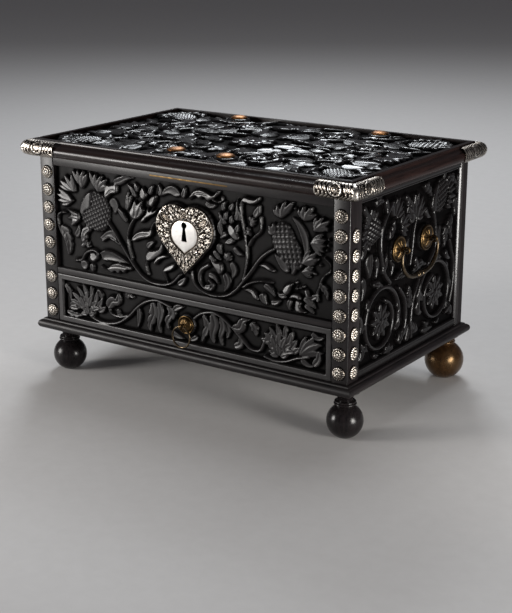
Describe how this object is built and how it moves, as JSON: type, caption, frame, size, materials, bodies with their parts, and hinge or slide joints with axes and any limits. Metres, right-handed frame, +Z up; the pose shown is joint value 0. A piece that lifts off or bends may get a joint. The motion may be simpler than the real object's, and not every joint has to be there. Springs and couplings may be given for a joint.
{
  "type": "ebony chest",
  "caption": "Carved ebony table chest with a hinged lid over a locked compartment, a long drawer below, turned feet, silver mounts and brass side handles.",
  "frame": {"origin": "on the table under the middle of the chest, at the bottom centre of its box", "axes": "+X across the front to the right, +Y from the front to the back, +Z up; the front faces -Y"},
  "size_m": [0.4316, 0.2826, 0.2748],
  "materials": {
    "ebony": "waxed and polished carved ebony",
    "inner_wood": "plain brown secondary wood, unpolished",
    "brown_foot": "polished brown wood",
    "silver": "aged chased silver",
    "brass": "aged brown brass",
    "iron": "dark wrought iron"
  },
  "bodies": {
    "case": {"front_panel": "ebony", "front_top_rail": "ebony", "front_mid_rail": "ebony", "front_left_post": "ebony", "front_right_post": "ebony", "back_left_post": "ebony", "back_right_post": "ebony", "left_side_panel": "ebony", "right_side_panel": "ebony", "back_panel": "ebony", "compartment_floor": "inner_wood", "base_board": "ebony", "base_moulding_front": "ebony", "base_moulding_back": "ebony", "base_moulding_left": "ebony", "base_moulding_right": "ebony", "foot_front_left": "ebony", "foot_front_right": "ebony", "foot_back_left": "ebony", "foot_back_right": "brown_foot", "drawer_guide_left": "inner_wood", "drawer_guide_right": "inner_wood", "lock_case": "iron", "heart_escutcheon": "silver", "rail_inlay": "brass", "hinge_case_leaf_left": "iron", "hinge_case_leaf_right": "iron", "hinge_pin_left": "iron", "hinge_pin_right": "iron", "handle_eye_left_front": "brass", "handle_eye_left_back": "brass", "handle_eye_right_front": "brass", "handle_eye_right_back": "brass"},
    "lid": {"lid_panel": "ebony", "lid_moulding_front": "ebony", "lid_moulding_back": "ebony", "lid_moulding_left": "ebony", "lid_moulding_right": "ebony", "lid_corner_front_left": "silver", "lid_corner_front_right": "silver", "lid_corner_back_left": "silver", "lid_corner_back_right": "silver", "hinge_lid_leaf_left": "iron", "hinge_lid_leaf_right": "iron", "lid_boss_front_left": "brass", "lid_boss_front_right": "brass", "lid_boss_back_left": "brass", "lid_boss_back_right": "brass", "lock_staple": "iron"},
    "drawer": {"drawer_front": "ebony", "drawer_side_left": "inner_wood", "drawer_side_right": "inner_wood", "drawer_back": "inner_wood", "drawer_bottom": "inner_wood", "drawer_rosette": "brass"},
    "ring": {"drawer_ring": "brass"},
    "left_bail": {"left_handle": "brass"},
    "right_bail": {"right_handle": "brass"},
    "bolt": {"lock_bolt": "iron"}
  },
  "joints": [
    {"name": "lid_hinge", "type": "hinge", "parent": "case", "child": "lid", "pos_m": [0, 0.127, 0.2498], "axis": [-1, 0, 0], "range_deg": [0, 105]},
    {"name": "drawer_slide", "type": "slide", "parent": "case", "child": "drawer", "axis": [0, -1, 0], "range_m": [0, 0.19]},
    {"name": "ring_swing", "type": "hinge", "parent": "drawer", "child": "ring", "pos_m": [0, -0.134, 0.0913], "axis": [-1, 0, 0], "range_deg": [0, 110]},
    {"name": "left_bail_swing", "type": "hinge", "parent": "case", "child": "left_bail", "pos_m": [-0.2092, 0.003, 0.183], "axis": [0, 1, 0], "range_deg": [0, 165]},
    {"name": "right_bail_swing", "type": "hinge", "parent": "case", "child": "right_bail", "pos_m": [0.2092, 0.003, 0.183], "axis": [0, -1, 0], "range_deg": [0, 165]},
    {"name": "bolt_throw", "type": "slide", "parent": "case", "child": "bolt", "axis": [1, 0, 0], "range_m": [0, 0.012]}
  ]
}
